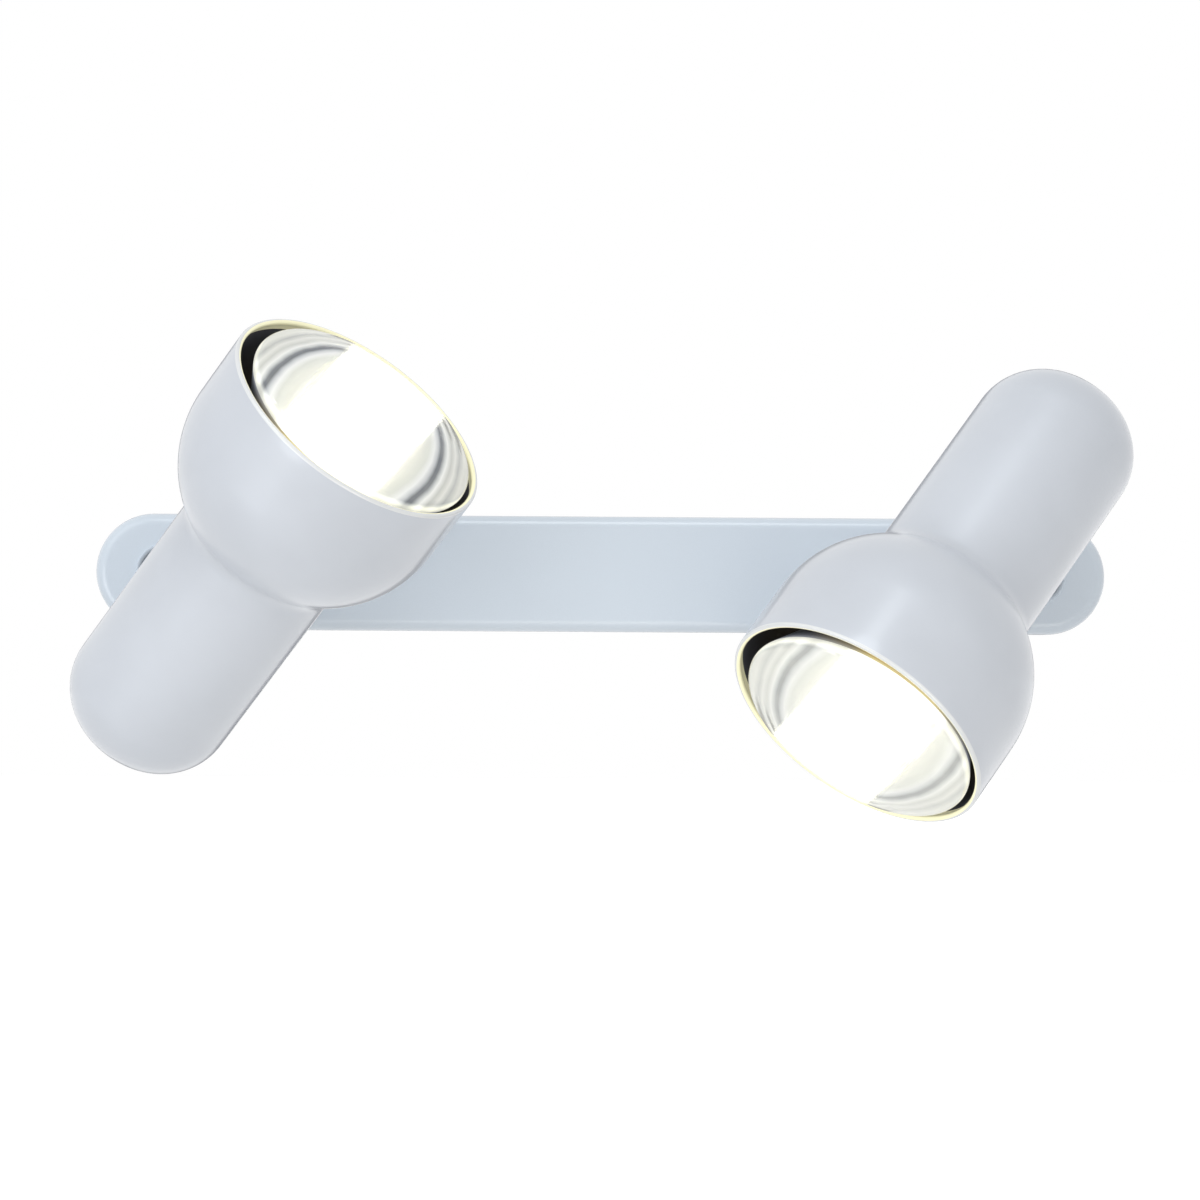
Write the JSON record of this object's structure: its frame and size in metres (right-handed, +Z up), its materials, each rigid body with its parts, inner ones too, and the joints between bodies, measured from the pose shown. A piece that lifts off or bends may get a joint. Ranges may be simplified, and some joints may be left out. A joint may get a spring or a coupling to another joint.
{
  "type": "spotlight bar",
  "caption": "Wall spotlight bar: round-ended pressed steel bar with swivelling spun shades, each holding a screw-cap reflector lamp.",
  "frame": {"origin": "on the wall plane, at the middle of the bar and of its two wall slots", "axes": "X along the bar, Z up, +Y into the wall; the shades stand on the -Y side"},
  "size_m": [0.3556, 0.1661, 0.1627],
  "materials": {
    "bar_paint": "satin pale blue-grey powder coat",
    "shade_paint": "satin silver-white lacquer",
    "zinc_steel": "zinc-plated sheet",
    "screw_steel": "nickel-plated",
    "brass": "turned",
    "porcelain": "glazed",
    "grommet_rubber": "moulded",
    "saddle_plastic": "moulded",
    "lead_insulation": "silicone sleeve",
    "earth_insulation": "silicone sleeve",
    "cap_aluminium": "rolled thread",
    "vitrite": "black glass",
    "solder": "solder button",
    "lamp_glass": "clear face over a mirrored bowl",
    "stem_glass": "pressed",
    "filament": "coiled wire, alight"
  },
  "bodies": {
    "bar": {"bar_cover": "bar_paint", "mounting_strap": "zinc_steel", "cover_pillars": "zinc_steel", "cover_screws": "screw_steel", "terminal_block": "porcelain", "terminal_screws": "brass", "cable_grommet": "grommet_rubber", "earth_screw": "brass", "earth_lead": "earth_insulation", "left_bar_leads": "lead_insulation", "right_bar_leads": "lead_insulation"},
    "left_swivel": {"left_swivel_base": "shade_paint", "left_lock_washer": "screw_steel", "left_lock_nut": "brass", "left_hinge_screw": "screw_steel", "left_hinge_washer": "screw_steel", "left_hinge_nut": "brass", "left_swivel_leads": "lead_insulation"},
    "left_head": {"left_knuckle_arm": "shade_paint", "left_saddle": "saddle_plastic", "left_shade": "shade_paint", "left_holder_bracket": "zinc_steel", "left_inner_washer": "screw_steel", "left_shade_nut": "brass", "left_holder_screws": "screw_steel", "left_lampholder": "porcelain", "left_screw_shell": "brass", "left_spring_contact": "brass", "left_head_leads": "lead_insulation", "left_lamp_cap": "cap_aluminium", "left_lamp_insulator": "vitrite", "left_lamp_contact": "solder", "left_lamp_glass": "lamp_glass", "left_lamp_stem": "stem_glass", "left_lamp_filament": "filament"},
    "right_swivel": {"right_swivel_base": "shade_paint", "right_lock_washer": "screw_steel", "right_lock_nut": "brass", "right_hinge_screw": "screw_steel", "right_hinge_washer": "screw_steel", "right_hinge_nut": "brass", "right_swivel_leads": "lead_insulation"},
    "right_head": {"right_knuckle_arm": "shade_paint", "right_saddle": "saddle_plastic", "right_shade": "shade_paint", "right_holder_bracket": "zinc_steel", "right_inner_washer": "screw_steel", "right_shade_nut": "brass", "right_holder_screws": "screw_steel", "right_lampholder": "porcelain", "right_screw_shell": "brass", "right_spring_contact": "brass", "right_head_leads": "lead_insulation", "right_lamp_cap": "cap_aluminium", "right_lamp_insulator": "vitrite", "right_lamp_contact": "solder", "right_lamp_glass": "lamp_glass", "right_lamp_stem": "stem_glass", "right_lamp_filament": "filament"}
  },
  "joints": [
    {"name": "left_pan", "type": "hinge", "parent": "bar", "child": "left_swivel", "pos_m": [-0.118, -0.019, 0], "axis": [0, 1, 0], "range_deg": [-170, 170]},
    {"name": "left_tilt", "type": "hinge", "parent": "left_swivel", "child": "left_head", "pos_m": [-0.118, -0.039, 0], "axis": [-0.788, 0, 0.6157], "range_deg": [-17, 38]},
    {"name": "right_pan", "type": "hinge", "parent": "bar", "child": "right_swivel", "pos_m": [0.118, -0.019, 0], "axis": [0, 1, 0], "range_deg": [-170, 170]},
    {"name": "right_tilt", "type": "hinge", "parent": "right_swivel", "child": "right_head", "pos_m": [0.118, -0.039, 0], "axis": [0.7986, 0, -0.6018], "range_deg": [-18, 37]}
  ]
}
